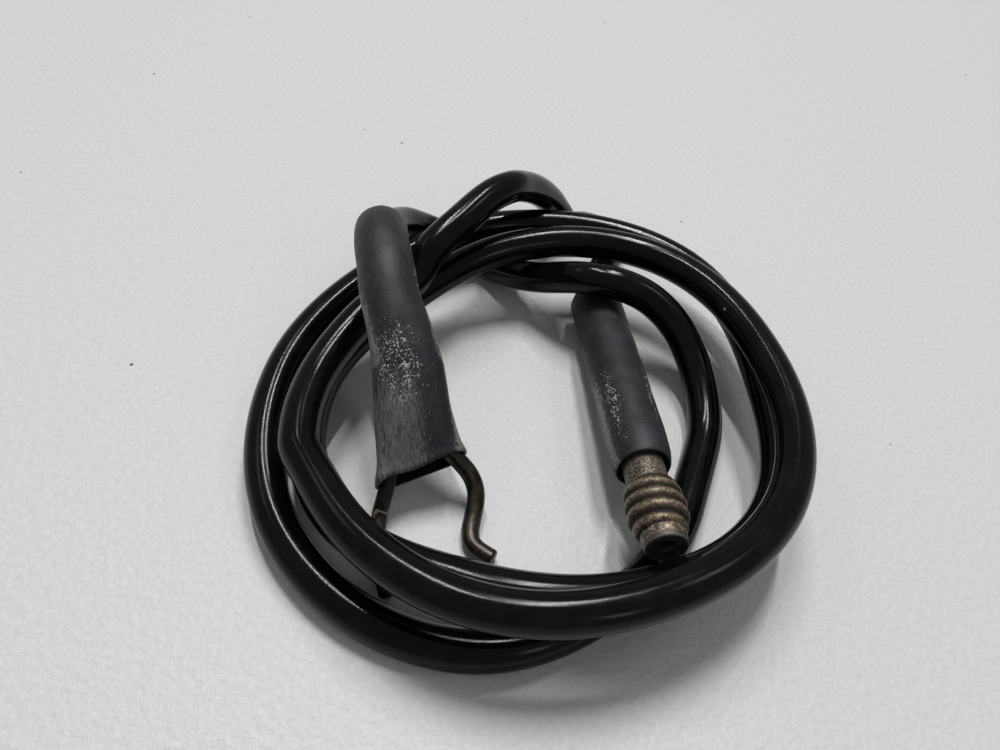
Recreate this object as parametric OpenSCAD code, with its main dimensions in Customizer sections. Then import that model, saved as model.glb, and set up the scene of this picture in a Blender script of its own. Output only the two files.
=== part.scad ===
// Cable shutter release, wound in loose turns as it lies on a table. Millimetres, +Z up.
// The origin is on the table, in the middle of the coil.

/* [Cord] */
// Outside diameter of the plastic jacket
cord_d = 4.0; // [3.6:0.1:4.2]
// Bore of the jacket
jacket_bore = 2.8; // [2.6:0.1:3.0]
// Bore of the wound steel conduit
conduit_bore = 1.5; // [1.4:0.1:1.6]
// Diameter of the inner cable
core_d = 1.1; // [0.9:0.1:1.2]

/* [Tip] */
// Diameter of the release pin
pin_d = 1.4; // [1.2:0.1:1.6]
// How far the pin stands back in the nose at rest
pin_recess = 2.0; // [1.5:0.1:2.2]
// Travel of the pin and of the push wire
stroke = 3.0; // [2:0.1:3]
// Diameter of the nose at its face
nose_d = 4.1; // [3.9:0.1:4.3]
// Diameter of the nose where it meets the collar
nose_back_d = 4.5; // [4.4:0.1:4.7]
// Length of the nose in front of the collar
nose_len = 1.1; // [0.9:0.1:1.3]
// Diameter of the bush inside the collar
spigot_d = 3.4; // [3.2:0.1:3.6]
// Length of the bush inside the collar
spigot_len = 2.4; // [2:0.1:2.8]
// Diameter over the collar's ridges at its back
collar_back_d = 5.5; // [5.3:0.1:5.7]
// Diameter over the collar's ridges in its middle
collar_d = 6.0; // [5.8:0.1:6.2]
// Diameter over the collar's ridges at its front
collar_front_d = 4.9; // [4.8:0.1:5.1]
// Length of the threaded collar
collar_len = 5.8; // [5.6:0.1:6]
// Number of ridges on the collar
ridges = 4; // [3:1:5]
// Depth of the thread
thread_depth = 0.3; // [0.2:0.05:0.35]
// Bore of the chamber that holds the return spring
chamber_d = 3.0; // [2.9:0.05:3.1]
// Diameter of the ferrule's neck
neck_d = 4.3; // [4.2:0.1:4.6]
// Length of bare neck between the collar and the sleeve
neck_len = 2.6; // [2.3:0.1:2.9]
// Diameter of the ferrule's spigot in the collar
ferrule_spigot_d = 3.8; // [3.6:0.1:4]
// Length of the ferrule's spigot in the collar
ferrule_spigot_len = 2.0; // [1.5:0.1:2.4]
// Depth of the conduit's socket in the ferrule
socket_len = 4.4; // [4:0.1:5]
// Thickness of the stop washer
washer_t = 0.55; // [0.4:0.05:0.8]
// Length of the ring that the return spring pushes
pin_collar_len = 1.0; // [0.8:0.1:1.4]
// Diameter of the spring's wire
spring_wire = 0.35; // [0.25:0.05:0.4]
// Turns of the return spring
spring_turns = 7; // [5:1:8]
// Outside diameter of the tip's shrink sleeve
tip_sleeve_d = 6.5; // [6.3:0.1:6.6]
// Length of the tip's shrink sleeve
tip_sleeve_len = 29.0; // [28.6:0.1:29.2]
// Bore of that sleeve at its mouth, where it stands off the neck
lip_bore = 5.3; // [5:0.1:5.4]
// Length of the taper down to its bore
lip_len = 1.6; // [1:0.1:2]

// Length of the return spring at rest
spring_len = 7.4; // [7:0.1:8]
// Diameter of the crimp that joins the inner cable to the pin
pin_crimp_d = 1.7; // [1.65:0.05:1.8]
// Length of pin inside that crimp
pin_grip = 1.3; // [1:0.1:1.6]
// Length of inner cable inside that crimp
cable_grip = 1.6; // [1.2:0.1:2]
// Spare room past the end of the stroke
stop_gap = 0.3; // [0.2:0.05:0.4]

/* [Two-wire end] */
// Diameter of the push wire
push_wire_d = 1.75; // [1.65:0.01:1.78]
// Diameter of the anchor wire
anchor_wire_d = 1.6; // [1.5:0.05:1.65]
// Length of push wire that stands straight out of the mouth
wire_out = 3.3; // [3.2:0.1:3.6]
// Outside diameter of the guide tube
guide_d = 2.4; // [2.3:0.05:2.45]
// How far the guide tube stops short of the mouth
guide_set_back = 4.0; // [3:0.1:5]
// Diameter of the ferrule that ends the conduit here
fork_ferrule_d = 3.8; // [3.6:0.1:4]
// Length of that ferrule
fork_ferrule_len = 3.5; // [3:0.1:4]
// Depth of the conduit's socket in that ferrule
fork_socket_len = 1.4; // [1:0.1:1.6]
// Distance from the mouth back to the jacket's end
jacket_set_back = 11.2; // [11:0.1:11.4]
// Length of push wire inside its crimp
wire_grip = 1.0; // [0.8:0.1:1.4]
// Wall of that crimp, across its diameter
crimp_wall = 0.08; // [0.06:0.01:0.08]
// Wall of the shrink sleeve
sleeve_wall = 0.4; // [0.35:0.05:0.4]

/* [Fits] */
// Radial clearance of a piece that slides or turns
run_gap = 0.06; // [0.03:0.01:0.1]
// Radial clearance of a piece that is pressed or crimped in place
seat_gap = 0.01; // [0.01:0.01:0.03]
// Radial clearance of a piece that lies loose in another
lay_gap = 0.2; // [0.15:0.01:0.25]
// Gap between two ends that face each other
end_gap = 0.05; // [0.02:0.01:0.1]

/* [Hidden] */
$fn = 48;

// Where the nose's face is, and which way it points
nose_at = [13.7, -15.8, 7.7];
tip_azimuth = -79.5;
tip_lift = 6.5;
// Where the push wire leaves the mouth, and which way it points
wire_at = [-7.5, -7.85, 5.0];
wire_azimuth = -45;
wire_lift = -36;

// The coil, seen from above, turns clockwise. One station every 40 degrees.
coil_from = -20;
coil_step = 40;
coil_r = [19, 21.5, 26.5, 28.5, 28, 28, 31.5, 34, 28.5, 26.5, 23,
          22, 24, 23.5, 21.5, 23.7, 28.2, 27, 27, 25.5, 25.5, 24.5];
coil_z = [1.6, 1.6, 1.6, 2.4, 4, 5.4, 6.6, 6.4, 5.2, 5.2, 6,
          6, 4.2, 3.6, 6, 9.2, 9.6, 10, 9.8, 9.8, 9.4, 8.4];
loop_rings = 24;
coil_end_len = 4;

// The lead at the two-wire end, from the sleeve to the coil
fork_route = [[-16.4, 3.9, 14.6], [-17.6, 7.2, 15.7], [-18.9, 11, 15.3], [-19.8, 14.8, 13.9],
              [-20.4, 18.4, 11.8], [-20.7, 21.8, 10], [-20.4, 25.2, 8.2], [-19.4, 28.2, 6.4],
              [-17.6, 30.6, 4.2], [-15, 31.6, 2.6], [-12, 30.8, 1.9], [-8.6, 28.2, 2],
              [-5, 25.2, 3.2], [-1, 22.2, 5.6], [4, 19.6, 8.7], [8.4, 18.8, 9.3],
              [12.6, 18, 8.4], [16.2, 16, 6.6], [18.8, 12.8, 4.4], [20.2, 8.4, 2.8],
              [20.4, 3.6, 1.8]];
// The lead at the tip end, from the coil to the straight length in the sleeve
tip_route = [[-22.3, -10.6, 8.3], [-22.9, -6.6, 8.4], [-22.7, -2, 8.5], [-21.4, 2.8, 9],
             [-19.2, 7.4, 9.8], [-15.9, 12.1, 10.3], [-14, 16, 12.6], [-11.4, 20, 14],
             [-8.8, 24.2, 14.9], [-6.64, 27.3, 14.72], [-4.98, 30.6, 13.09],
             [-3.02, 33.8, 10.74], [-1.13, 36.5, 7.83], [0.51, 38.1, 4.92], [2.2, 38.9, 2.5],
             [4.7, 39.9, 2], [7.3, 39.2, 2], [8.7, 36.6, 2], [8.5, 33, 2.1], [7.4, 28.8, 2.5]];
// The push wire past its straight length, and the whole anchor wire
push_route = [[-4.6, -10.3, 2.1], [-4.45, -11.4, 1.5], [-4.5, -12.4, 1.15], [-4.45, -13.4, 0.95],
              [-4.2, -14.6, 0.9], [-3.6, -15.3, 0.9], [-2.9, -15.7, 0.9], [-1.95, -16.15, 0.9]];
anchor_route = [[-13.4, -11.3, 4.4], [-13.55, -12.6, 3.1], [-13.75, -13.9, 1.6],
                [-13.4, -16.4, 0.85], [-12.6, -18.8, 0.85], [-11.3, -21.5, 0.85]];
// The shrink sleeve over the two-wire end: centre, half width, half height, from mouth to kink
mouth_route = [[[-10.35, -9.55, 4.6], 4.85, 1.75], [[-11, -7.95, 5.9], 4.35, 1.95],
               [[-12.25, -5.05, 8.6], 3.9, 2.35], [[-13.6, -1.4, 11.4], 3.6, 2.9],
               [[-14.6, 0.9, 12.95], 3.35, 2.9]];
// Further rings lie on the lead's own, from the second to this one
sleeve_last = 8;
// Half widths and half heights there, first and last
kink_half = [3.1, 2.95];
top_half = [2.9, 2.9];
// The mouth is cut askew: its right corner lies further back
mouth_skew = 0.2;
// Its upper lip lies further back than its lower lip
mouth_tilt = 0.4;

TIP = axis(tip_azimuth, tip_lift);
WIRE = axis(wire_azimuth, wire_lift);

nose_back = -nose_len;
spigot_back = nose_back - spigot_len;
collar_back = nose_back - collar_len;
ferrule_spigot_front = collar_back + ferrule_spigot_len;
sleeve_front = collar_back - neck_len;
sleeve_back = sleeve_front - tip_sleeve_len;
// From the front: the spring, the ring it pushes, the washer, the chamber's floor, the crimp,
// the inner cable's end and the conduit's socket
pin_collar_front = spigot_back - spring_len;
pin_collar_back = pin_collar_front - pin_collar_len;
washer_front = pin_collar_back - end_gap;
chamber_floor = washer_front - washer_t;
pin_crimp_front = chamber_floor - stroke - stop_gap;
pin_back = pin_crimp_front - pin_grip;
pin_crimp_back = pin_back - cable_grip;
passage_d = pin_crimp_d + lay_gap;
core_front = pin_crimp_back - stop_gap;
socket_front = core_front - end_gap;
ferrule_back = socket_front - socket_len;

tip_sleeve_bore = max(cord_d, neck_d) + 2 * end_gap;
conduit_d = jacket_bore - 2 * lay_gap;
socket_d = conduit_d + lay_gap;
guide_bore = push_wire_d + 2 * run_gap;
fork_ferrule_front = fork_ferrule_len - jacket_set_back;
guide_back = fork_socket_len - jacket_set_back + end_gap;
wire_crimp_d = push_wire_d + 2 * seat_gap + crimp_wall;
wire_crimp_back = guide_back + stroke + end_gap;
wire_back = wire_crimp_back + cable_grip;
wire_crimp_front = wire_back + wire_grip;

// How far a cut runs past the face it opens, and a joined length into its neighbour
past = 1;

function unit(v) = v / norm(v);
function axis(az, lift) = [cos(lift) * cos(az), cos(lift) * sin(az), sin(lift)];
function flat(v) = [for (a = v) each a];

// Smooth curve through the points: value between b and c at t from 0 to 1
function mix(a, b, c, d, t) = 0.5 * (2 * b + (c - a) * t
    + (2 * a - 5 * b + 4 * c - d) * t * t + (3 * b - a - 3 * c + d) * t * t * t);
function at(v, i) = v[max(0, min(len(v) - 1, i))];
function smooth(v, u) = let(i = min(len(v) - 2, floor(u)))
    mix(at(v, i - 1), v[i], v[i + 1], at(v, i + 2), u - i);

// Ring centres of a lead: two a stretch, with one point before and one after as guides
function curve(p, per = 2) = concat(
    [for (i = [1:len(p) - 3], k = [0:per - 1])
        mix(p[i - 1], p[i], p[i + 1], p[i + 2], k / per)], [p[len(p) - 2]]);

coil_turns = (len(coil_r) - 1) * coil_step / 360;
coil_n = round(coil_turns * loop_rings);
function coil_at(k) = let(u = k * (len(coil_r) - 1) / coil_n, a = coil_from - coil_step * u,
    r = smooth(coil_r, u)) [r * cos(a), r * sin(a), smooth(coil_z, u)];
coil_mid = [for (k = [0:coil_n]) coil_at(k)];
coil_in = unit(coil_mid[1] - coil_mid[0]);
coil_out = unit(coil_mid[coil_n] - coil_mid[coil_n - 1]);
coil_line = concat([coil_mid[0] - coil_end_len * coil_in], coil_mid,
    [coil_mid[coil_n] + coil_end_len * coil_out]);
coil_start = coil_line[0];
coil_end = coil_line[len(coil_line) - 1];

fork_end = wire_at - jacket_set_back * WIRE;
tip_end = nose_at + ferrule_back * TIP;
lead_in = 2.5;
tip_in = nose_at + (sleeve_back - lead_in) * TIP;
fork_line = curve(concat([fork_end + 3 * WIRE, fork_end], fork_route,
    [coil_start, coil_start + 4 * coil_in]));
tip_line = concat(curve(concat([coil_end - 4 * coil_out, coil_end], tip_route,
    [tip_in, tip_in + 6 * TIP])), [(tip_in + tip_end) / 2, tip_end]);

// Directions along a line of centres, with the two ends given
function ways(p, first, last) = [for (i = [0:len(p) - 1]) i == 0 ? first
    : i == len(p) - 1 ? last : unit(unit(p[i + 1] - p[i]) + unit(p[i] - p[i - 1]))];
fork_ways = ways(fork_line, -WIRE, coil_in);
coil_ways = ways(coil_line, coil_in, coil_out);
tip_ways = ways(tip_line, coil_out, TIP);

// One ring of n points round c, square to w, kept above the table
function side(w) = unit(cross(w, [0, 0, 1]));
function above(p) = [p[0], p[1], max(0, p[2])];
function ring(c, w, r, n) = let(s = side(w), t = cross(s, w), o = n == 8 ? 0.5 : 0)
    [for (i = [0:n - 1]) let(a = 360 * (i + o) / n) above(c + r * (cos(a) * s + sin(a) * t))];
function rings(p, w, r, n) = [for (i = [0:len(p) - 1]) ring(p[i], w[i], r, n)];
function turned(v) = [for (i = [len(v) - 1:-1:0]) v[i]];

// Skin of triangles over m rings of n points; closed joins the last ring to the first
function skin(m, n, closed) = [for (i = [0:closed ? m - 1 : m - 2], j = [0:n - 1])
    let(k = (i + 1) % m, a = i * n + j, b = i * n + (j + 1) % n, c = k * n + j, d = k * n + (j + 1) % n)
    each [[a, b, c], [b, d, c]]];
module pipe(outer, inner) {
    all = concat(outer, turned(inner));
    polyhedron(points = flat(all), faces = skin(len(all), len(all[0]), true));
}
module bar(all) {
    n = len(all[0]);
    last = (len(all) - 1) * n;
    lids = [for (j = [1:n - 2]) each [[0, j + 1, j], [last, last + j, last + j + 1]]];
    polyhedron(points = flat(all), faces = concat(skin(len(all), n, false), lids));
}
module hose(line, dirs, n) {
    pipe(rings(line, dirs, cord_d / 2, n), rings(line, dirs, jacket_bore / 2, n));
}

// Places its children with the pin's or the push wire's axis along +Z
module at_tip() {
    translate(nose_at) rotate([0, 90 - tip_lift, tip_azimuth]) children();
}
module at_wire() {
    translate(wire_at) rotate([0, 90 - wire_lift, wire_azimuth]) children();
}
module rod(d, from, to) {
    translate([0, 0, from]) cylinder(d = d, h = to - from);
}
// Bent wire: ten sides, three rings a stretch, through the points p
module bent(p, d) {
    n = len(p) - 1;
    line = curve(concat([2 * p[0] - p[1]], p, [2 * p[n] - p[n - 1]]), 3);
    bar(rings(line, ways(line, unit(p[1] - p[0]), unit(p[n] - p[n - 1])), d / 2, 10));
}

// The jacket, in its three stretches
module jacket_fork_lead() {
    color("#15161a") hose(fork_line, fork_ways, 8);
}
module jacket_coil() {
    color("#1b1c21") hose(coil_line, coil_ways, 6);
}
module jacket_tip_lead() {
    color("#15161a") hose(tip_line, tip_ways, 8);
}

// The conduit and the cable in it run the whole length, into both ferrules
whole_line = concat([fork_end + (fork_socket_len - end_gap) * WIRE], fork_line,
    [for (i = [1:len(coil_line) - 1]) coil_line[i]], [for (i = [1:len(tip_line) - 1]) tip_line[i]],
    [nose_at + (socket_front - end_gap) * TIP]);
whole_ways = concat([-WIRE], fork_ways, [for (i = [1:len(coil_ways) - 1]) coil_ways[i]],
    [for (i = [1:len(tip_ways) - 1]) tip_ways[i]], [TIP]);
module conduit() {
    color("#8d9096") pipe(rings(whole_line, whole_ways, conduit_d / 2, 6),
        rings(whole_line, whole_ways, conduit_bore / 2, 6));
}
module core_cable() {
    line = concat(whole_line, [nose_at + core_front * TIP]);
    dirs = concat(whole_ways, [TIP]);
    color("#c3b9a6") bar(rings(line, dirs, core_d / 2, 6));
}

// Shrink sleeve over the two-wire end: round on the cord, flat and wide at the mouth
sleeve_n = 20;
mouth_n = len(mouth_route);
mouth_mid = [for (s = mouth_route) s[0]];
lead_mid = [for (i = [1:sleeve_last]) fork_line[i]];
sleeve_line = concat(mouth_mid, lead_mid);
mouth_way = unit(mouth_mid[1] - mouth_mid[0]);
sleeve_ways = ways(sleeve_line, mouth_way, fork_ways[sleeve_last]);
function half(i) = i < mouth_n ? [mouth_route[i][1], mouth_route[i][2]]
    : let(t = (i - mouth_n) / (sleeve_last - 1)) kink_half * (1 - t) + top_half * t;
function oval(i, wall) = let(c = sleeve_line[i], w = sleeve_ways[i], s = side(w), t = cross(s, w),
    h = half(i)[1] - wall, f = max(0, half(i)[0] - half(i)[1]))
    [for (j = [0:sleeve_n - 1]) let(a = 360 * (j + 0.5) / sleeve_n,
        x = f * sign(cos(a)) + h * cos(a), y = h * sin(a))
        c + x * s + y * t + (i == 0 ? (mouth_skew * x + mouth_tilt * y) * w : [0, 0, 0])];
module fork_sleeve() {
    all = [for (i = [0:len(sleeve_line) - 1]) i];
    color("#2a2a2c") pipe([for (i = all) oval(i, 0)], [for (i = all) oval(i, sleeve_wall)]);
}
module fork_ferrule() {
    color("#a08c66") at_wire() difference() {
        rod(fork_ferrule_d, -jacket_set_back, fork_ferrule_front);
        rod(socket_d, -jacket_set_back - past, fork_socket_len - jacket_set_back);
        rod(guide_d + 2 * seat_gap, -jacket_set_back, fork_ferrule_front + past);
    }
}
module guide_tube() {
    color("#b5b8bc") at_wire() difference() {
        rod(guide_d, guide_back, -guide_set_back);
        rod(guide_bore, guide_back - past, past - guide_set_back);
    }
}
// The push wire slides in the guide tube; the crimp on its back end takes the inner cable
module push_wire() {
    bend_from = [wire_at + (wire_out - past) * WIRE, wire_at + wire_out * WIRE];
    color("#6b4a2e") {
        at_wire() rod(push_wire_d, wire_back, wire_out);
        bent(concat(bend_from, push_route), 0.96 * push_wire_d);
    }
}
module wire_crimp() {
    color("#b5b8bc") at_wire() difference() {
        rod(wire_crimp_d, wire_crimp_back, wire_crimp_front);
        rod(push_wire_d + 2 * seat_gap, wire_back, wire_crimp_front + past);
    }
}
module anchor_wire() {
    beside = (guide_d + anchor_wire_d) / 2 + end_gap;
    root = wire_at + (fork_ferrule_front + end_gap) * WIRE - beside * side(-WIRE);
    color("#5c4330") bent(concat([root], anchor_route), anchor_wire_d);
}

// The tip, from the sleeve to the pin
module tip_sleeve() {
    color("#2a2a2c") at_tip() difference() {
        rod(tip_sleeve_d, sleeve_back, sleeve_front);
        rod(tip_sleeve_bore, sleeve_back - past, sleeve_front + past);
        translate([0, 0, sleeve_front - lip_len])
            cylinder(d1 = tip_sleeve_bore, d2 = lip_bore, h = lip_len);
    }
}
module tip_ferrule() {
    color("#9a8f7d") at_tip() difference() {
        union() {
            rod(neck_d, ferrule_back, collar_back);
            rod(ferrule_spigot_d, collar_back - past, ferrule_spigot_front);
        }
        rod(chamber_d, chamber_floor, ferrule_spigot_front + past);
        rod(passage_d, socket_front - past, chamber_floor + past);
        rod(socket_d, ferrule_back - past, socket_front);
    }
}
// Ridges, as a profile of radius against height
ridge_steps = 5;
collar_steps = ridges * ridge_steps;
collar_ds = [collar_back_d, collar_d, collar_d, collar_front_d];
function ridge_r(t) = smooth(collar_ds, (len(collar_ds) - 1) * t) / 2
    - thread_depth * (1 - cos(360 * ridges * t + 180)) / 2;
module threaded_collar() {
    wall_line = [for (i = [0:collar_steps]) let(t = i / collar_steps)
        [ridge_r(t), collar_back + collar_len * t]];
    color("#a9814f") at_tip() difference() {
        rotate_extrude() polygon(concat([[0, nose_back], [0, collar_back]], wall_line));
        rod(ferrule_spigot_d + 2 * seat_gap, collar_back - past, ferrule_spigot_front);
        rod(chamber_d, collar_back, spigot_back);
        rod(spigot_d + 2 * seat_gap, spigot_back, nose_back + past);
    }
}
module nose_bush() {
    color("#4a4038") at_tip() difference() {
        union() {
            translate([0, 0, nose_back]) cylinder(d1 = nose_back_d, d2 = nose_d, h = nose_len);
            rod(spigot_d, spigot_back, nose_back + 0.5);
        }
        rod(pin_d + 2 * run_gap, spigot_back - past, 1);
    }
}
module release_pin() {
    color("#c9c4b4") at_tip() rod(pin_d, pin_back, -pin_recess);
}
module pin_collar() {
    color("#b5b8bc") at_tip() difference() {
        rod(chamber_d - lay_gap, pin_collar_back, pin_collar_front);
        rod(pin_d + 2 * seat_gap, pin_collar_back - past, pin_collar_front + past);
    }
}
module pin_crimp() {
    color("#a08c66") at_tip() difference() {
        rod(pin_crimp_d, pin_crimp_back, pin_crimp_front);
        rod(pin_d + 2 * seat_gap, pin_back - seat_gap, pin_crimp_front + past);
    }
}
module stop_washer() {
    color("#a08c66") at_tip() difference() {
        rod(chamber_d - 2 * seat_gap, chamber_floor, washer_front);
        rod(pin_d + lay_gap, chamber_floor - past, washer_front + past);
    }
}
// Return spring: one wire, eight rings a turn
spring_r = (chamber_d - lay_gap - spring_wire) / 2;
spring_low = pin_collar_front + spring_wire / 2 + end_gap / 2;
spring_high = spigot_back - spring_wire / 2 - end_gap / 2;
spring_n = 8 * spring_turns;
function spring_at(k) = let(a = 360 * k / 8)
    [spring_r * cos(a), spring_r * sin(a), spring_low + (spring_high - spring_low) * k / spring_n];
module return_spring() {
    line = [for (k = [0:spring_n]) spring_at(k)];
    hoops = [for (k = [0:spring_n]) let(a = 360 * k / 8, o = [cos(a), sin(a), 0])
        [for (j = [0:5]) line[k] + spring_wire / 2 * (cos(60 * j) * o + sin(60 * j) * [0, 0, 1])]];
    color("#c9c4b4") at_tip() bar(hoops);
}

// Least gap between two stretches of the cord's skin, on points one step apart
check_line = concat(fork_line, coil_line, tip_line);
check_step = 12;
function dist_seg(p, a, b) = let(v = b - a, t = max(0, min(1, (p - a) * v / (v * v))))
    norm(p - a - t * v);
coil_gap = min([for (i = [0:len(coil_line) - 1], j = [0:len(coil_line) - 2])
    if (abs(i - j) > check_step) dist_seg(coil_line[i], coil_line[j], coil_line[j + 1])]) - cord_d;
cord_gap = min([for (i = [0:len(check_line) - 1], j = [0:len(check_line) - 2])
    if (abs(i - j) > check_step) dist_seg(check_line[i], check_line[j], check_line[j + 1])]) - cord_d;
function run(p, i = 1) = i == len(p) ? 0 : norm(p[i] - p[i - 1]) + run(p, i + 1);
echo(coil_gap = coil_gap, cord_gap = cord_gap);
echo(fork_lead = run(fork_line), coil = run(coil_line), tip_lead = run(tip_line));

jacket_fork_lead();
jacket_coil();
jacket_tip_lead();
conduit();
core_cable();
fork_sleeve();
fork_ferrule();
guide_tube();
push_wire();
wire_crimp();
anchor_wire();
tip_sleeve();
tip_ferrule();
threaded_collar();
nose_bush();
release_pin();
pin_collar();
pin_crimp();
stop_washer();
return_spring();
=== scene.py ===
import bpy
import math
from mathutils import Matrix, Vector, noise


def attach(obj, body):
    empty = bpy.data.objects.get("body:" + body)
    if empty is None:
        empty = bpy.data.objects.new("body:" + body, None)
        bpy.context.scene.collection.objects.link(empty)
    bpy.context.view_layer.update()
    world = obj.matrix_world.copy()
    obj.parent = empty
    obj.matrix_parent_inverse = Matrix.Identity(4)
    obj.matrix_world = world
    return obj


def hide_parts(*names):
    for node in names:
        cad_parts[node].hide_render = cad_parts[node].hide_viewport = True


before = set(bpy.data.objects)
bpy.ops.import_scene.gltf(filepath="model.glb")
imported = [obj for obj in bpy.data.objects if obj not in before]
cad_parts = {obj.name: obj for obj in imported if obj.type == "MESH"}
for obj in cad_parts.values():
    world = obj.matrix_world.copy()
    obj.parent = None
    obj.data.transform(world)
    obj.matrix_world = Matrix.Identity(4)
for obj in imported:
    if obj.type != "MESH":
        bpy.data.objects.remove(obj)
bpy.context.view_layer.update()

# The table: a painted white board, faintly uneven like orange peel, with a few crumbs.
# It is only a stage for the release. Lengths and noise scales are in millimetres.
MM = 0.001
table_half = 2000


def node(mat, kind, **inputs):
    """A shader node with its inputs. Keys that start with set_ are its settings."""
    made = mat.node_tree.nodes.new("ShaderNode" + kind)
    for key, value in inputs.items():
        if key.startswith("set_"):
            setattr(made, key[4:], value)
        else:
            feed(mat, made.inputs[key.replace("_", " ")], value)
    return made


def feed(mat, socket, value):
    """Give a socket a value, a colour or another node's output."""
    if isinstance(value, bpy.types.NodeSocket):
        mat.node_tree.links.new(value, socket)
    else:
        socket.default_value = (*value, 1) if socket.type == "RGBA" else value


def new_finish(name):
    """A material with one principled shader."""
    mat = bpy.data.materials.new(name)
    mat.use_nodes = True
    mat.node_tree.nodes.clear()
    node(mat, "OutputMaterial", Surface=node(mat, "BsdfPrincipled").outputs[0])
    return mat


def surface(mat, **inputs):
    """Feed the inputs of the finish's shader."""
    shader = mat.node_tree.nodes["Principled BSDF"]
    for key, value in inputs.items():
        feed(mat, shader.inputs[key.replace("_", " ")], value)


def bump(mat, height, depth, strength):
    made = node(mat, "Bump", Height=height, Distance=depth * MM, Strength=strength)
    surface(mat, Normal=made.outputs[0])


def in_space(mat):
    """The place in space."""
    here = node(mat, "TexCoord").outputs["Object"]
    return node(mat, "Mapping", Vector=here, Scale=[1 / MM] * 3).outputs[0]


def grain(mat, where, scale, detail=4, roughness=0.5):
    return node(mat, "TexNoise", Vector=where, Scale=scale, Detail=detail,
                Roughness=roughness).outputs[0]


def ramp(mat, value, *stops):
    """A colour ramp, from pairs of position and colour or grey."""
    made = node(mat, "ValToRGB", Fac=value)
    bar = made.color_ramp.elements
    while len(bar) < len(stops):
        bar.new(0.5)
    for slot, (position, tone) in zip(bar, stops):
        slot.position = position
        slot.color = (*tone, 1) if hasattr(tone, "__len__") else (tone, tone, tone, 1)
    return made.outputs[0]


def maths(mat, operation, first, second=0.0, third=0.0):
    made = node(mat, "Math", set_operation=operation)
    for socket, value in zip(made.inputs, (first, second, third)):
        feed(mat, socket, value)
    return made.outputs[0]


def times(mat, first, second):
    return maths(mat, "MULTIPLY", first, second)


def blend(mat, factor, first, second):
    made = node(mat, "Mix", set_data_type="RGBA")
    for place, value in ((0, factor), (6, first), (7, second)):
        feed(mat, made.inputs[place], value)
    return made.outputs[2]


def specks(mat, where, scale, core, rim, rarity):
    """A mask of round specks, some of them left out."""
    cells = node(mat, "TexVoronoi", Vector=where, Scale=scale, Randomness=1.0)
    speck = ramp(mat, cells.outputs["Distance"], (core, 1.0), (rim, 0.0))
    draw = node(mat, "SeparateColor", Color=cells.outputs["Color"]).outputs[0]
    return times(mat, speck, maths(mat, "GREATER_THAN", draw, rarity))


def solid(name, points, faces, finish, smooth=True):
    """A mesh object with one finish."""
    mesh = bpy.data.meshes.new(name)
    mesh.from_pydata([Vector(p) * MM for p in points], [], faces)
    mesh.validate()
    mesh.materials.append(finish)
    mesh.polygons.foreach_set("use_smooth", [smooth] * len(mesh.polygons))
    made = bpy.data.objects.new(name, mesh)
    bpy.context.scene.collection.objects.link(made)
    return made


board = new_finish("painted_board")
where = in_space(board)
paint = ramp(board, grain(board, where, 1.6, 3, 0.6), (0.3, 0.625), (0.7, 0.69))
crumbs = specks(board, where, scale=0.13, core=0.022, rim=0.034, rarity=0.45)
surface(board, Base_Color=blend(board, crumbs, paint, (0.12, 0.10, 0.08)), Roughness=0.38,
        Specular_IOR_Level=0.25)
bump(board, grain(board, where, 1.1, 4, 0.6), depth=0.16, strength=1.0)
table = solid("table_top", [(x * table_half, y * table_half, 0)
                            for x, y in ((-1, -1), (1, -1), (1, 1), (-1, 1))],
              [(0, 1, 2, 3)], board, smooth=False)

# The lamps: two long ceiling strips, which draw the double line of light on the cord, with
# softer light from a window and from the room's walls. All of them face the coil.


def axis(turn, lift):
    """The way at an azimuth and an elevation in degrees."""
    a, e = math.radians(turn), math.radians(lift)
    return Vector((math.cos(e) * math.cos(a), math.cos(e) * math.sin(a), math.sin(e)))


# (name, azimuth, elevation, distance m, width m, height m, watts)
for name, turn, lift, far, wide, tall, watts in (
        ("ceiling_left", 117, 67, 1.2, 0.032, 0.45, 5.1),
        ("ceiling_right", 80, 67, 1.2, 0.032, 0.45, 5.7),
        ("window_left", 160, 50, 1.5, 0.5, 0.08, 0.4),
        ("room_right", 20, 58, 1.5, 0.3, 0.15, 0.7),
        ("room_front", -50, 34, 1.5, 0.16, 0.3, 0.45)):
    lamp = bpy.data.objects.new(name, bpy.data.lights.new(name, "AREA"))
    lamp.data.shape = "RECTANGLE"
    lamp.data.size, lamp.data.size_y = wide, tall
    lamp.data.energy = watts
    lamp.location = far * axis(turn, lift)
    lamp.rotation_euler = (-lamp.location).to_track_quat("-Z", "Y").to_euler()
    bpy.context.scene.collection.objects.link(lamp)

world = bpy.data.worlds.new("room")
bpy.context.scene.world = world
world.use_nodes = True
room = world.node_tree.nodes["Background"]
room.inputs["Color"].default_value = (0.98, 0.985, 1.0, 1)
room.inputs["Strength"].default_value = 0.27
bpy.context.scene.view_settings.view_transform = "Standard"

# The camera looks down at the coil from in front, tilted a little clockwise.
camera_at, camera_pitch, camera_roll = Vector((-4, -54, 68.4)), 42.8, 9
camera = bpy.data.objects.new("camera", bpy.data.cameras.new("camera"))
camera.data.lens = 27.36
camera.data.sensor_width = 36
camera.data.clip_start = 0.005
camera.matrix_world = (Matrix.Translation(camera_at * MM)
                       @ Matrix.Rotation(math.radians(camera_pitch), 4, "X")
                       @ Matrix.Rotation(math.radians(camera_roll), 4, "Z"))
bpy.context.scene.collection.objects.link(camera)
bpy.context.scene.camera = camera

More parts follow.
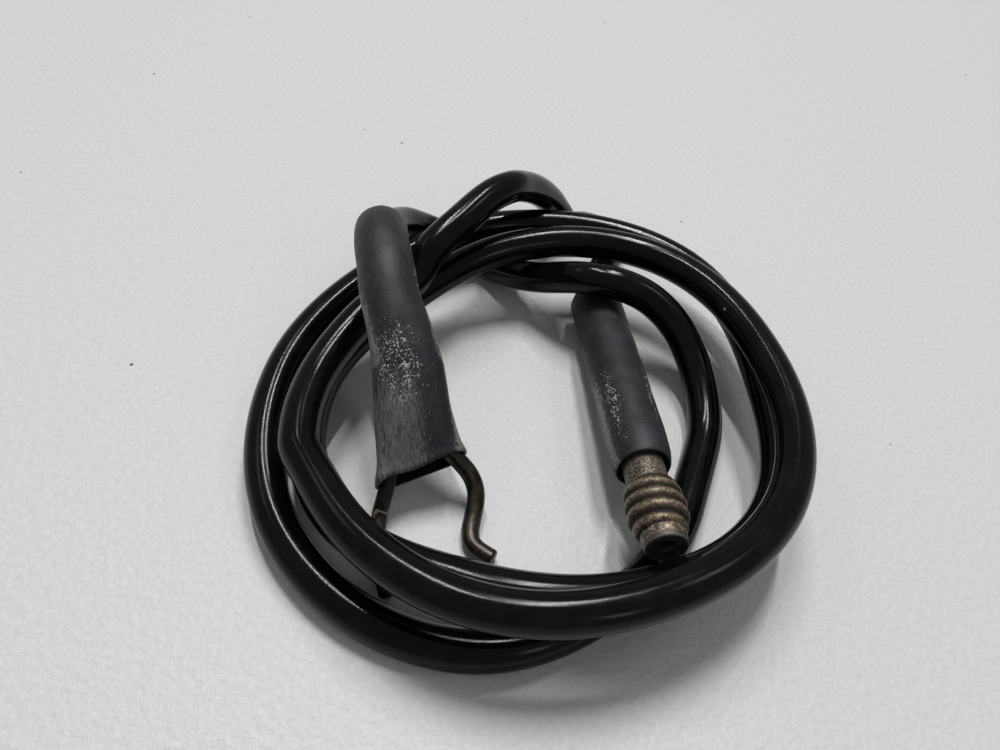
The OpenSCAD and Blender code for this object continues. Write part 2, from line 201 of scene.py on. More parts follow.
# The cord: one glossy black extruded jacket, wound in about three loose turns and springy
# enough to stand up in an arch at the back. It starts inside the flat sleeve of the
# two-wire end and ends inside the sleeve of the tip.
nose_at, tip_way = Vector((13.7, -15.8, 7.7)), axis(-79.5, 6.5)
wire_at, wire_way = Vector((-7.5, -7.85, 5.0)), axis(-45, -36)
cord_radius, cord_around = 2.0, 28
# Ends of the cord, behind the mouth and behind the nose, and where it enters the tip's sleeve
cord_from = wire_at - 11.2 * wire_way
cord_to = nose_at - 23.45 * tip_way
sleeve_in = nose_at - 41 * tip_way
# The coil: its first azimuth, the turn from one guide to the next in degrees, each guide's
# distance from the middle and height, and the straight stretch at each end
coil_from, coil_step = -20, 40
coil_r = [19, 21.5, 26.5, 28.5, 28, 28, 31.5, 34, 28.5, 26.5, 23,
          22, 24, 23.5, 21.5, 23.7, 28.2, 27, 27, 25.5, 25.5, 24.5]
coil_z = [1.6, 1.6, 1.6, 2.4, 4, 5.4, 6.6, 6.4, 5.2, 5.2, 6,
          6, 4.2, 3.6, 6, 9.2, 9.6, 10, 9.8, 9.8, 9.4, 8.4]
coil_end = 4.0
# Rings along the coil, in each stretch of a lead, in the coil's straight ends and in the
# tip's sleeve, and the reach of the guides past the leads' own ends
coil_rings, lead_per, end_rings, straight_rings = 336, 7, 4, 8
fork_reach, tip_reach = 3, 6
fork_route = [(-16.4, 3.9, 14.6), (-17.6, 7.2, 15.7), (-18.9, 11, 15.3), (-19.8, 14.8, 13.9),
              (-20.4, 18.4, 11.8), (-20.7, 21.8, 10), (-20.4, 25.2, 8.2), (-19.4, 28.2, 6.4),
              (-17.6, 30.6, 4.2), (-15, 31.6, 2.6), (-12, 30.8, 1.9), (-8.6, 28.2, 2),
              (-5, 25.2, 3.2), (-1, 22.2, 5.6), (4, 19.6, 8.7), (8.4, 18.8, 9.3),
              (12.6, 18, 8.4), (16.2, 16, 6.6), (18.8, 12.8, 4.4), (20.2, 8.4, 2.8),
              (20.4, 3.6, 1.8)]
tip_route = [(-22.3, -10.6, 8.3), (-22.9, -6.6, 8.4), (-22.7, -2, 8.5), (-21.4, 2.8, 9),
             (-19.2, 7.4, 9.8), (-15.9, 12.1, 10.3), (-14, 16, 12.6), (-11.4, 20, 14),
             (-8.8, 24.2, 14.9), (-6.64, 27.3, 14.72), (-4.98, 30.6, 13.09),
             (-3.02, 33.8, 10.74), (-1.13, 36.5, 7.83), (0.51, 38.1, 4.92), (2.2, 38.9, 2.5),
             (4.7, 39.9, 2), (7.3, 39.2, 2), (8.7, 36.6, 2), (8.5, 33, 2.1), (7.4, 28.8, 2.5)]


def between(a, b, c, d, t):
    """A smooth curve's point, or value, from b to c."""
    return 0.5 * (2 * b + (c - a) * t + (2 * a - 5 * b + 4 * c - d) * t * t
                  + (3 * b - a - 3 * c + d) * t ** 3)


def curve(points, per):
    """Points on a smooth curve from the second point to the last but one."""
    line = [between(*points[i - 1:i + 3], k / per)
            for i in range(1, len(points) - 2) for k in range(per)]
    return line + [points[-2]]


def spaced(a, b, count):
    """Points on a straight line from a to b, both included."""
    return [a.lerp(b, k / count) for k in range(count + 1)]


def length(line):
    return sum((b - a).length for a, b in zip(line, line[1:]))


def ways(line):
    """The way at each point of a line."""
    spans = [(b - a).normalized() for a, b in zip(line, line[1:])]
    return [spans[0]] + [(a + b).normalized() for a, b in zip(spans, spans[1:])] + [spans[-1]]


def coil_line():
    guides = [[v[0]] + v + [v[-1]] for v in (coil_r, coil_z)]
    spans = len(coil_r) - 1
    line = []
    for k in range(coil_rings + 1):
        u = k * spans / coil_rings
        i = min(spans - 1, int(u))
        r, z = (between(*v[i:i + 4], u - i) for v in guides)
        a = math.radians(coil_from - coil_step * u)
        line.append(Vector((r * math.cos(a), r * math.sin(a), z)))
    return line


coil = coil_line()
coil_in, coil_out = ways(coil)[0], ways(coil)[-1]
coil_start, coil_stop = coil[0] - coil_end * coil_in, coil[-1] + coil_end * coil_out
fork_guides = ([cord_from + fork_reach * wire_way, cord_from] + [Vector(p) for p in fork_route]
               + [coil_start, coil_start + coil_end * coil_in])
tip_guides = ([coil_stop - coil_end * coil_out, coil_stop] + [Vector(p) for p in tip_route]
              + [sleeve_in, sleeve_in + tip_reach * tip_way])
cord_line = (curve(fork_guides, lead_per)[:-1]
             + spaced(coil_start, coil[0], end_rings)[:-1] + coil
             + spaced(coil[-1], coil_stop, end_rings)[1:-1]
             + curve(tip_guides, lead_per) + spaced(sleeve_in, cord_to, straight_rings)[1:])


def sides(way):
    """Right and up, as seen by one who walks that way."""
    right = way.cross(Vector((0, 0, 1))).normalized()
    return right, right.cross(way)


def carry(piece, name, marks):
    """Give each point of a piece its vector."""
    held = piece.data.attributes.new(name, "FLOAT_VECTOR", "POINT")
    held.data.foreach_set("vector", [c for ring in marks for mark in ring for c in mark])


def loft(name, rings, finish, marks, lids=False):
    """A skin over rings of points, each with a mark for the finish to read: its place along
    the piece and across it. The last ring joins the first, or the ends get lids."""
    around, count = len(rings[0]), len(rings)
    faces = []
    for i in range(count - 1 if lids else count):
        k = (i + 1) % count
        for j in range(around):
            m = (j + 1) % around
            faces.append((i * around + j, k * around + j, k * around + m, i * around + m))
    if lids:
        faces.append(tuple(range(around)))
        faces.append(tuple(reversed(range((count - 1) * around, count * around))))
    made = solid(name, [p for ring in rings for p in ring], faces, finish)
    carry(made, "skin", marks)
    return made


def tube(name, line, radii, around, finish):
    """A round tube along a line, with a radius for each ring, kept above the table."""
    rings, marks, run = [], [], 0.0
    spokes = [2 * math.pi * (j + 0.5) / around for j in range(around)]
    for i, (centre, way, r) in enumerate(zip(line, ways(line), radii)):
        right, up = sides(way)
        run += (centre - line[max(0, i - 1)]).length
        ring = [centre + r * (math.cos(a) * right + math.sin(a) * up) for a in spokes]
        rings.append([Vector((p.x, p.y, max(0.0, p.z))) for p in ring])
        marks.append([(run, r * math.cos(a), r * math.sin(a)) for a in spokes])
    return loft(name, rings, finish, marks, lids=True)


def mask(mat, value, low, high):
    """0 where the value is below low, 1 where it is above high."""
    return ramp(mat, value, (low, 0.0), (high, 1.0))


def sloped(mat, value, slope, start):
    """start + slope * value"""
    return maths(mat, "MULTIPLY_ADD", value, slope, start)


jacket = new_finish("black_jacket")
where = in_space(jacket)
haze = mask(jacket, grain(jacket, where, 0.35, 5, 0.6), 0.45, 0.75)
fine = grain(jacket, where, 9, 4, 0.6)
dust = specks(jacket, where, scale=0.33, core=0.035, rim=0.06, rarity=0.72)
black = blend(jacket, haze, (0.0022, 0.0022, 0.0027), (0.0055, 0.0055, 0.006))
surface(jacket, Base_Color=blend(jacket, dust, black, (0.32, 0.28, 0.22)),
        Roughness=sloped(jacket, fine, 0.12, sloped(jacket, haze, 0.05, 0.07)),
        Specular_IOR_Level=0.18)
bump(jacket, fine, depth=0.006, strength=0.8)

cord = tube("cord_jacket", cord_line, [cord_radius] * len(cord_line), cord_around, jacket)
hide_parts("jacket_fork_lead", "jacket_coil", "jacket_tip_lead")
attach(cord, "release")
print("cord runs", round(length(cord_line), 1), "mm")

# The shrink sleeve over the two-wire end: charcoal tubing, shrunk round on the jacket, and
# pressed flat and wide where it holds the two bare wires. Its mouth is cut askew.
sleeve_wall, sleeve_around, sleeve_per = 0.45, 84, 6
# Near the mouth: the sleeve's middle, half its width and half its height
mouth_route = [((-10.35, -9.55, 4.6), 4.85, 1.75), ((-11, -7.95, 5.9), 4.35, 1.95),
               ((-12.25, -5.05, 8.6), 3.9, 2.35), ((-13.6, -1.4, 11.4), 3.6, 2.9),
               ((-14.9, 1.15, 13.1), 3.3, 2.9)]
# Further back it goes with the cord from the lead's second stretch on, lifted a little. Its
# half width and half height go from those at the kink to those at the top.
kink_half, top_half = Vector((3.1, 2.95)), Vector((2.95, 2.95))
lead_lift, lead_split = (0, 0, 0.1, 0.3, 0.6, 0.8, 0.9, 0.9), 2
lead_rings = [p + Vector((0, 0, lift)) for p, lift in zip(
    curve(fork_guides, lead_split)[lead_split:], lead_lift)]
# The cut of the mouth, to its right and up, and how far back it is felt
mouth_skew, mouth_tilt, mouth_reach = 0.2, 0.4, 5.0
# The dent between the two wires: its left and right side, its depth, how far back it runs
# and the power by which it fades
fold_from, fold_to, fold_depth, fold_reach, fold_fade = -3.6, 2.1, 0.62, 15.0, 0.7
# How far the top end is nipped in, over what length, and how far both cut ends bulge
nip, nip_reach, mouth_bulge, top_bulge = 0.2, 0.5, 0.12, 0.1
# The unevenness of the tubing: heights, and how many a millimetre
lumps = ((0.05, 0.5), (0.03, 1.7))


def flat_oval(share, wide, tall):
    """Point and outward way at a share of the way round a flattened tube."""
    flat, arc = max(0.0, wide - tall), math.pi * tall / 2
    s = share * 4 * (flat + arc)
    for stretch, x, turn in ((arc, flat, 0), (2 * flat, None, 1), (2 * arc, -flat, 1),
                             (2 * flat, None, -1), (arc, flat, 3)):
        if s <= stretch or turn == 3:
            break
        s -= stretch
    if x is None:
        return turn * (flat - s), turn * tall, 0.0, float(turn)
    a = turn * math.pi / 2 + s / tall
    return x + tall * math.cos(a), tall * math.sin(a), math.cos(a), math.sin(a)


def flattened_sleeve():
    """Rings and marks, from the mouth's rim up the outside, and back down the bore."""
    lead = lead_rings[:-1]
    centres = [Vector(middle) for middle, wide, tall in mouth_route] + lead
    halves = [Vector((wide, tall)) for middle, wide, tall in mouth_route] \
        + [kink_half.lerp(top_half, k / (len(lead) - 1)) for k in range(len(lead))]
    line = curve([2 * centres[0] - centres[1]] + centres + [lead_rings[-1]], sleeve_per)
    sizes = curve([halves[0]] + halves + [halves[-1]], sleeve_per)
    outer, inner, marks = [], [], []
    run, total = 0.0, length(line)
    for i, (centre, way, half) in enumerate(zip(line, ways(line), sizes)):
        run += (centre - line[max(0, i - 1)]).length
        right, up = sides(way)
        nipped = nip * max(0.0, 1 - (total - run) / nip_reach) ** 2
        skin, lining, here = [], [], []
        for j in range(sleeve_around):
            x, y, nx, ny = flat_oval(j / sleeve_around, half[0] - nipped, half[1] - nipped)
            across = (x - fold_from) / (fold_to - fold_from)
            if ny > 0 and 0 < across < 1:
                fade = max(0.0, 1 - run / fold_reach) ** fold_fade
                y -= fold_depth * fade * math.sin(math.pi * across) ** 2 * ny
            back = (mouth_skew * x + mouth_tilt * y) * max(0.0, 1 - run / mouth_reach)
            spot = centre + x * right + y * up + back * way
            uneven = sum(height * noise.noise(spot * often) for height, often in lumps)
            out = nx * right + ny * up
            skin.append(spot + uneven * out)
            lining.append(spot + (uneven - sleeve_wall) * out)
            here.append((run, x, y))
        outer.append(skin)
        inner.append(lining)
        marks.append(here)
    bulges = (0, -mouth_bulge * ways(line)[0]), (-1, top_bulge * ways(line)[-1])
    rim, end = ([a.lerp(b, 0.5) + bulge for a, b in zip(outer[k], inner[k])]
                for k, bulge in bulges)
    return [rim] + outer + [end] + inner[::-1], [marks[0]] + marks + [marks[-1]] + marks[::-1]


def carried(mat, name):
    """A vector that the piece's points carry."""
    return node(mat, "Attribute", set_attribute_name=name).outputs["Vector"]


def on_skin(mat, stretch=(1, 1, 1)):
    """The place on the piece's skin, stretched along an axis if asked."""
    return node(mat, "Mapping", Vector=carried(mat, "skin"), Scale=stretch).outputs[0]


def zones(mat):
    """The piece's three zones of wear, some of which also paint light and shade."""
    return node(mat, "SeparateXYZ", Vector=carried(mat, "wear")).outputs[:3]


def patches(mat, zone, pull, texture, low, high):
    """A mask from a texture, fuller where the zone is 1."""
    return mask(mat, sloped(mat, zone, pull, texture), low, high)


def coats(mat, base, *layers):
    """Coats laid over a base, from (mask, strength, colour), the lowest first."""
    for cover, strength, tone in layers:
        base = blend(mat, times(mat, cover, strength), base, tone)
    return base


tubing = new_finish("charcoal_tubing")
where = on_skin(tubing)
flaked, streaked_and_sheen, chafed_and_sheen = zones(tubing)
pale_wear_and_sheen = (0.085, 0.09, 0.095)
mottle = grain(tubing, where, 0.5, 5, 0.65)
charcoal = ramp(tubing, mottle, (0.35, (0.010, 0.011, 0.013)), (0.7, (0.022, 0.024, 0.028)))
dusty = mask(tubing, grain(tubing, where, 5.5, 4, 0.75), 0.50, 0.74)
clumps = sloped(tubing, grain(tubing, where, 1.3, 3, 0.6), 0.35,
                grain(tubing, where, 5.2, 3, 0.6))
flecks = patches(tubing, flaked, 0.20, clumps, 0.94, 1.01)
lengthwise = grain(tubing, on_skin(tubing, (0.3, 2.6, 2.6)), 2.6, 6, 0.8)
scuffs = patches(tubing, streaked_and_sheen, 0.3, lengthwise, 0.69, 0.84)
scrapes = grain(tubing, on_skin(tubing, (0.7, 1.6, 1.6)), 2.4, 4, 0.7)
chafes = patches(tubing, chafed_and_sheen, 0.4, scrapes, 0.76, 0.90)
# Coats over the charcoal: dust, streaks, chafe, scuffs and flecks. On the tip's sleeve the
# streaked and chafed coats are also a painted sheen along its right flank.
charcoal_wear_and_sheen = coats(
    tubing, charcoal, (dusty, 0.45, (0.085, 0.09, 0.098)), (streaked_and_sheen, 0.1, pale_wear_and_sheen),
    (chafed_and_sheen, 0.2, pale_wear_and_sheen), (scuffs, 0.6, (0.20, 0.21, 0.22)), (chafes, 0.6, (0.30, 0.30, 0.29)),
    (flecks, 0.9, (0.52, 0.53, 0.52)))
surface(tubing, Base_Color=charcoal_wear_and_sheen, Roughness=sloped(tubing, mottle, 0.2, 0.40),
        Specular_IOR_Level=0.35)
rough = maths(tubing, "ADD", times(tubing, flecks, 0.5), grain(tubing, where, 5, 4, 0.6))
bump(tubing, rough, depth=0.03, strength=0.6)

# The tubing's bore: near black and dull, a painted shade inside the sleeves.
bore = new_finish("tubing_bore_painted_shade")
where = on_skin(bore)
painted_shade_black = ramp(bore, grain(bore, where, 0.8, 4, 0.6), (0.35, 0.004),
                  (0.7, (0.010, 0.010, 0.011)))
surface(bore, Base_Color=painted_shade_black,
        Roughness=ramp(bore, grain(bore, where, 2, 3), (0.3, 0.7), (0.7, 0.85)),
        Specular_IOR_Level=0.08)
bump(bore, grain(bore, where, 4, 3), depth=0.02, strength=0.5)


def paint_bore_shade(piece, first, around):
    """Give the faces from one ring on the near-black finish that paints shade in the tubing's
    bore.
    """
    piece.data.materials.append(bore)
    for face in piece.data.polygons:
        if min(face.vertices) >= first * around:
            face.material_index = 1


def clamp(value):
    return max(0.0, min(1.0, value))


def hump(value, centre, reach, gain=1.0):
    """Up to 1 at the centre, 0 from its reach on. A gain above 1 gives it a flat top."""
    return clamp(gain * (1 - abs(value - centre) / reach))


def worn(piece, marks, wear):
    """Give each point its three zones of wear and painted light, each from 0 to 1."""
    carry(piece, "wear", [[wear(mark) for mark in ring] for ring in marks])


def fork_wear(mark):
    """Flakes on the top and in a row on the right edge, streaks on the left near the mouth,
    and chafed edges. The mark is the place back from the mouth, to the right and up."""
    run, x, y = mark
    top = 1.0 if y > 0 else 0.0
    edge_row = hump(x, 2.6, 0.5, 4) * hump(run, 19, 8) if -0.9 < y < 1.6 else 0.0
    flakes = top * clamp(1.9 * hump(run, 10.5, 6.5) * hump(x, -1.1, 3.4))
    streaks = top * hump(run, 4, 9, 1.6) * hump(x, -1.7, 4.2, 1.6)
    past_edge = abs(x) - (2.4 if run > 11 else 3.1)
    edges = clamp(1.4 * past_edge) * clamp((22 - run) / 4) if -0.6 < y < 2.4 else 0.0
    return max(edge_row, flakes), streaks, edges


rings, marks = flattened_sleeve()
fork_tubing = loft("fork_tubing", rings, tubing, marks)
worn(fork_tubing, marks, fork_wear)
# Its bore is painted near black, a painted shade inside the mouth.
paint_bore_shade(fork_tubing, len(rings) // 2 + 1, sleeve_around)
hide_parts("fork_sleeve")
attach(fork_tubing, "release")

# The push wire: hard bronze wire with a brown-black skin, copper where it has been handled.
# It slides in the sleeve, leaves its right corner, and is bent down to a foot on the table.
wire_per, wire_around, bevel = 10, 32, 0.16
push_radius = 0.92
# Straight in its guide, then out of the mouth and down
push_straight = [wire_at - t * wire_way for t in (5.1, 4, 2.5, 1, 0.8)]
push_points = push_straight + [
    (-7.3, -7.55, 5.0), (-6.5, -7.9, 4.43), (-5.76, -8.28, 3.88), (-5.1, -8.8, 3.2),
    (-4.62, -9.55, 2.5), (-4.42, -10.44, 1.9), (-4.43, -11.4, 1.5), (-4.48, -12.42, 1.2),
    (-4.5, -13.4, 1.0), (-4.25, -14.55, 0.93), (-3.67, -15.25, 0.93), (-2.94, -15.7, 0.93),
    (-1.95, -16.15, 0.93)]


def bare_wire(name, points, radius, finish):
    """A bent wire with a bevelled end."""
    points = [Vector(p) for p in points]
    line = curve([2 * points[0] - points[1]] + points + [2 * points[-1] - points[-2]], wire_per)
    line += [line[-1] + bevel * (line[-1] - line[-2]).normalized()]
    radii = [radius] * (len(line) - 1) + [radius - bevel]
    return tube(name, line, radii, wire_around, finish)


bronze = new_finish("patinated_bronze")
where = on_skin(bronze)
tarnish = grain(bronze, where, 0.9, 5, 0.65)
patina = ramp(bronze, tarnish, (0.35, (0.022, 0.020, 0.017)), (0.62, (0.060, 0.051, 0.043)))
rubbed = mask(bronze, grain(bronze, on_skin(bronze, (0.3, 1.2, 1.2)), 0.8, 4, 0.6), 0.54, 0.74)
grit = mask(bronze, grain(bronze, where, 2.6, 3, 0.6), 0.69, 0.73)
handled = coats(bronze, patina, (rubbed, 0.45, (0.20, 0.135, 0.09)),
                (grit, 0.6, (0.40, 0.33, 0.22)))
surface(bronze, Base_Color=handled, Roughness=sloped(bronze, tarnish, 0.3, 0.2),
        Metallic=maths(bronze, "SUBTRACT", 0.85, times(bronze, grit, 0.6)))
bump(bronze, grain(bronze, where, 5, 4, 0.6), depth=0.03, strength=0.5)

push = bare_wire("push_wire_bent", push_points, push_radius, bronze)
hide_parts("push_wire")
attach(push, "push")

# The anchor wire: the second bare wire, held fast beside the guide. It leaves the mouth's left
# corner, dives under the turns and ends beyond them.
anchor_radius = 0.8
anchor_points = [(-13.33, -4.92, 9.5), (-13.5, -8.0, 7.2), (-13.4, -11.3, 4.4),
                 (-13.55, -12.6, 3.1), (-13.75, -13.9, 1.6), (-13.4, -16.4, 0.85),
                 (-12.6, -18.8, 0.85), (-11.3, -21.5, 0.85)]

blackened = new_finish("blackened_bronze")
where = on_skin(blackened)
soot = ramp(blackened, grain(blackened, where, 1.2, 5, 0.65), (0.35, (0.008, 0.007, 0.006)),
            (0.65, (0.024, 0.020, 0.017)))
bare = mask(blackened, grain(blackened, where, 0.75, 3, 0.5), 0.62, 0.65)
surface(blackened, Base_Color=blend(blackened, bare, soot, (0.33, 0.26, 0.17)), Metallic=0.4,
        Roughness=ramp(blackened, grain(blackened, where, 3, 3), (0.3, 0.4), (0.7, 0.65)))
bump(blackened, grain(blackened, where, 5, 4, 0.6), depth=0.03, strength=0.5)

anchor = bare_wire("anchor_wire_bent", anchor_points, anchor_radius, blackened)
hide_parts("anchor_wire")
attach(anchor, "release")

# The shrink sleeve at the tip: the same tubing, stout and straight, rounded in towards its
# front end, where it stands off the neck.
tip_around = 72
tip_right, tip_up = sides(tip_way)
# The tubing's unevenness: its height, and how many lumps a millimetre
wobble_high, wobble_often = 0.09, 0.45


def turned(profile, radius_at=None, wobble=0.0):
    """Rings round the tip's axis, from pairs of place along it and radius, and their marks.
    The place is 0 at the nose and below 0 behind it."""
    rings, marks = [], []
    for t, r in profile:
        ring, here = [], []
        centre = nose_at + t * tip_way
        for j in range(tip_around):
            a = 2 * math.pi * j / tip_around
            reach = radius_at(t, a, r) if radius_at else r
            out = math.cos(a) * tip_right + math.sin(a) * tip_up
            spot = centre + reach * out
            ring.append(spot + wobble * noise.noise(spot * wobble_often) * out)
            here.append((t, reach * math.cos(a), reach * math.sin(a)))
        rings.append(ring)
        marks.append(here)
    return rings, marks


def steps(first, last, count):
    """Evenly spaced pairs from the first pair up to the last, which is left out."""
    return [tuple(a + (b - a) * k / count for a, b in zip(first, last)) for k in range(count)]


def tip_wear_and_sheen(mark):
    """Flakes in two rows, streaks between the right row and the side, and chafed sides. The
    streaks and the chafe on the right side are also a painted sheen along that flank.
    """
    t, x, y = mark
    turn = math.degrees(math.atan2(y, x))
    flakes = (clamp(1.7 * hump(turn, 46, 22) * hump(t, -17, 8))
              + clamp(1.5 * hump(turn, 132, 16) * hump(t, -19, 8)))
    streaks = 0.6 * hump(turn, 20, 26) * hump(t, -14, 10, 2)
    edges = (hump(turn, 8, 26, 1.4) * hump(t, -14, 12, 2)
             + 0.9 * hump(turn, 160, 16) * hump(t, -15, 8, 2))
    return flakes, streaks, edges


tip_outside = (steps((-38.5, 2.95), (-37.9, 3.22), 4) + steps((-37.9, 3.22), (-12.6, 3.25), 58)
               + [(-12.6, 3.25), (-11.8, 3.23), (-11.0, 3.17), (-10.3, 3.08), (-9.9, 3.0),
                  (-9.65, 2.93), (-9.52, 2.84), (-9.5, 2.74), (-9.6, 2.66)])
tip_inside = (steps((-9.9, 2.6), (-12.0, 2.28), 5) + steps((-12.0, 2.2), (-38.3, 2.2), 8)
              + [(-38.5, 2.25), (-38.6, 2.6)])
rings, marks = turned(tip_outside + tip_inside, wobble=wobble_high)
tip_tubing = loft("tip_tubing", rings, tubing, marks)
# Its streaks and chafe on the right flank also paint a sheen of light there.
worn(tip_tubing, marks, tip_wear_and_sheen)
# Its bore is painted near black, a painted shade round the neck.
paint_bore_shade(tip_tubing, len(tip_outside), tip_around)
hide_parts("tip_sleeve")
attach(tip_tubing, "release")

# The neck: the ferrule that is crimped on the jacket inside the sleeve and carries the collar.
# Its plating is worn to a fine tan speckle.
neck_back, neck_front, neck_radius = -23.4, -6.5, 2.15

plating = new_finish("speckled_plating")
where = on_skin(plating)
pits = grain(plating, where, 4.2, 4, 0.7)
tan = ramp(plating, grain(plating, where, 0.7, 3), (0.4, (0.20, 0.165, 0.12)),
           (0.65, (0.27, 0.24, 0.195)))
surface(plating, Base_Color=blend(plating, mask(plating, pits, 0.46, 0.56),
                                  (0.045, 0.038, 0.032), tan),
        Metallic=0.55, Roughness=ramp(plating, pits, (0.4, 0.7), (0.6, 0.4)))
bump(plating, pits, depth=0.05, strength=0.6)

neck_outside = (steps((neck_back, neck_radius), (neck_front, neck_radius), 24)
                + [(neck_front, neck_radius)])
neck_inside = [(neck_front, 1.55), (-12.45, 1.55), (-12.5, 0.95), (-19.0, 0.95),
               (-19.05, 1.3), (neck_back, 1.3)]
rings, marks = turned(neck_outside + neck_inside)
neck = loft("tip_neck", rings, plating, marks)
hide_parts("tip_ferrule")
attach(neck, "release")

# The threaded collar: bronze, with a coarse rounded thread of four turns, barrel-shaped, tan on
# its crests and near black in its grooves, a painted shade, with patches of grime.
collar_back, collar_front, collar_steps = -6.9, -1.1, 88
ridge_count, ridge_depth, crest_sharpness = 4, 0.36, 0.45
collar_girth = [2.72, 3.0, 3.02, 2.5]
# The chamfer at each end, and the share of the collar's length that it takes
chamfer, chamfer_share = 0.25, 0.05
# Stands in a profile for the radius of the threaded outside
threaded = 9


def collar_share(t):
    return (t - collar_back) / (collar_front - collar_back)


def thread_height(t, a):
    """How high the right-handed thread stands, from 0 in its groove to 1 on its crest."""
    return 0.5 - 0.5 * math.cos(2 * math.pi * (ridge_count * collar_share(t)) - a)


def collar_radius(t, a, r):
    if r != threaded:
        return r
    u, spans = collar_share(t), len(collar_girth) - 1
    guides = [collar_girth[0]] + collar_girth + [collar_girth[-1]]
    i = min(spans - 1, max(0, int(u * spans)))
    girth = between(*guides[i:i + 4], u * spans - i)
    cut = chamfer * (1 - clamp(min(u, 1 - u) / chamfer_share))
    return girth - ridge_depth * (1 - thread_height(t, a) ** crest_sharpness) - cut


def collar_shade_and_wear(mark):
    """The thread's height, from which the finish paints shade in the grooves and lays chips on
    the crests.
    """
    t, x, y = mark
    return thread_height(t, math.atan2(y, x)), 0, 0


thread = new_finish("worn_bronze_thread")
where = on_skin(thread)
crest = zones(thread)[0]
pits = grain(thread, where, 3.2, 4, 0.7)
level = sloped(thread, grain(thread, where, 1.1, 5, 0.7), 1.1,
               maths(thread, "SUBTRACT", crest, 0.5))
# From near black in the grooves, a painted shade, to tan on the crests.
groove_shaded_brown = ramp(thread, level, (0.0, (0.012, 0.010, 0.008)), (0.28, (0.055, 0.038, 0.026)),
             (0.60, (0.125, 0.095, 0.062)), (1.0, (0.25, 0.20, 0.13)))
grime = ramp(thread, pits, (0.42, 1.0), (0.52, 0.0))
chips = times(thread, mask(thread, pits, 0.60, 0.66), crest)
worn_groove_shaded_brown = coats(thread, groove_shaded_brown, (grime, 0.8, (0.022, 0.017, 0.013)),
                   (chips, 0.5, (0.44, 0.38, 0.28)))
surface(thread, Base_Color=worn_groove_shaded_brown, Metallic=0.45,
        Roughness=ramp(thread, level, (0.3, 0.7), (1.0, 0.42)))
bump(thread, pits, depth=0.06, strength=0.7)

collar_outside = (steps((collar_back, threaded), (collar_front, threaded), collar_steps)
                  + [(collar_front, threaded)])
collar_inside = [(-1.12, 1.72), (-6.45, 1.72), (-6.46, 2.17), (-6.88, 2.17)]
rings, marks = turned(collar_outside + collar_inside, collar_radius)
collar = loft("tip_thread", rings, thread, marks)
worn(collar, marks, collar_shade_and_wear)
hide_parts("threaded_collar")
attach(collar, "release")

# The nose: a short cone in front of the collar with a smooth turned rim, a dished face and the
# pin's bore. The cone keeps some of its worn plating; the rim is lightened as a painted
# highlight, and the face and bore are darkened as painted shade.
face_radius, face_edge = 1.88, 0.12
rim_at, rim_reach, rim_inside = 0.2, 0.24, 1.85
# Where the cone's plating ends, and how fast it fades there
cone_end, cone_fade = -0.1, 5

darkened = new_finish("darkened_nose")
where = on_skin(darkened)
cone, face, rim_highlight = zones(darkened)
pits = grain(darkened, where, 3.0, 4, 0.7)
umber = ramp(darkened, grain(darkened, where, 0.9, 4), (0.4, (0.060, 0.050, 0.042)),
             (0.65, (0.105, 0.088, 0.072)))
speckle = times(darkened, mask(darkened, pits, 0.50, 0.60), cone)
# The rim is lightened as a painted highlight, and the face and bore are darkened as painted
# shade.
umber_wear_and_light = coats(darkened, umber, (speckle, 0.85, (0.46, 0.37, 0.25)),
                   (rim_highlight, 0.7, (0.22, 0.20, 0.18)), (face, 0.8, (0.035, 0.032, 0.028)))
surface(darkened, Base_Color=umber_wear_and_light, Roughness=sloped(darkened, pits, 0.3, 0.35),
        Metallic=maths(darkened, "SUBTRACT", 0.6, times(darkened, face, 0.5)))
bump(darkened, pits, depth=0.05, strength=0.6)


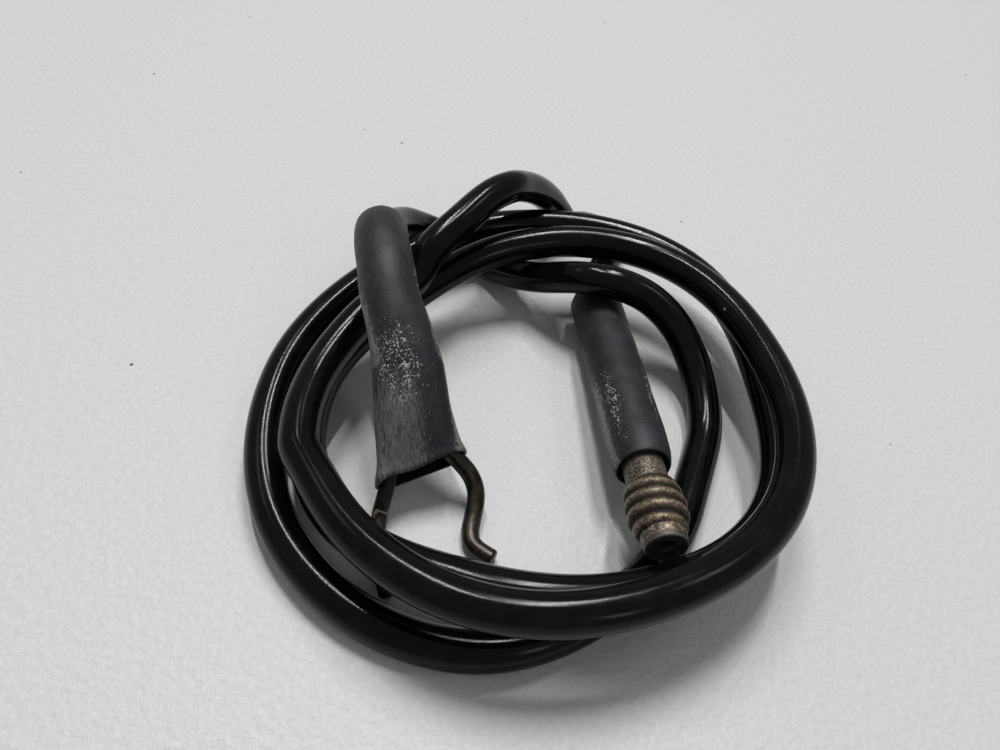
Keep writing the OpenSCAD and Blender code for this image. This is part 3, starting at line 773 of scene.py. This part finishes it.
def nose_wear_and_light(mark):
    """The cone behind the rim, the face inside it with the bore, darkened as painted shade, and
    the rim itself, lightened as a painted highlight.
    """
    t, r = mark[0], math.hypot(mark[1], mark[2])
    return (clamp((cone_end - t) * cone_fade), clamp((face_radius - r) / face_edge),
            hump(t, rim_at, rim_reach) if r > rim_inside else 0.0)


nose_outside = (steps((-1.3, 1.9), (-1.1, 2.26), 2) + steps((-1.1, 2.26), (0.0, 2.12), 12)
                + [(0.0, 2.12), (0.14, 2.1), (0.25, 2.04), (0.3, 1.96), (0.31, 1.88),
                   (0.28, 1.8), (0.2, 1.7), (0.15, 1.5), (0.13, 1.2), (0.12, 0.98),
                   (0.08, 0.88), (-0.05, 0.8), (-0.4, 0.77)])
nose_inside = [(-3.45, 0.77), (-3.5, 0.82), (-3.5, 1.66), (-3.45, 1.69), (-1.34, 1.69)]
rings, marks = turned(nose_outside + nose_inside)
nose = loft("tip_nose", rings, darkened, marks)
worn(nose, marks, nose_wear_and_light)
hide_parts("nose_bush")
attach(nose, "release")

# The parts inside, seen only through the pin's bore and the flat mouth: drawn and turned
# metal, each kind with its own colour and stains.
# (name, bright colour, stained colour, lowest roughness, parts)
for name, bright, stained, smoothest, parts in (
        ("drawn_steel", (0.50, 0.50, 0.49), (0.30, 0.29, 0.27), 0.22,
         ("guide_tube", "wire_crimp", "pin_collar")),
        ("pin_steel_polish", (0.56, 0.54, 0.49), (0.33, 0.30, 0.25), 0.16,
         ("release_pin", "return_spring")),
        ("turned_brass", (0.52, 0.39, 0.19), (0.30, 0.21, 0.10), 0.25,
         ("fork_ferrule", "pin_crimp", "stop_washer")),
        ("wound_steel", (0.42, 0.42, 0.43), (0.2, 0.2, 0.2), 0.3, ("conduit",)),
        ("stranded_cable", (0.50, 0.47, 0.41), (0.26, 0.24, 0.2), 0.3, ("core_cable",))):
    metal = new_finish(name)
    where = in_space(metal)
    stain = grain(metal, where, 0.8, 5, 0.65)
    surface(metal, Base_Color=ramp(metal, stain, (0.35, stained), (0.62, bright)),
            Metallic=0.95, Roughness=sloped(metal, stain, 0.25, smoothest))
    bump(metal, grain(metal, where, 7, 3, 0.6), depth=0.015, strength=0.5)
    for part in parts:
        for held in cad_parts[part].material_slots:
            held.material = metal
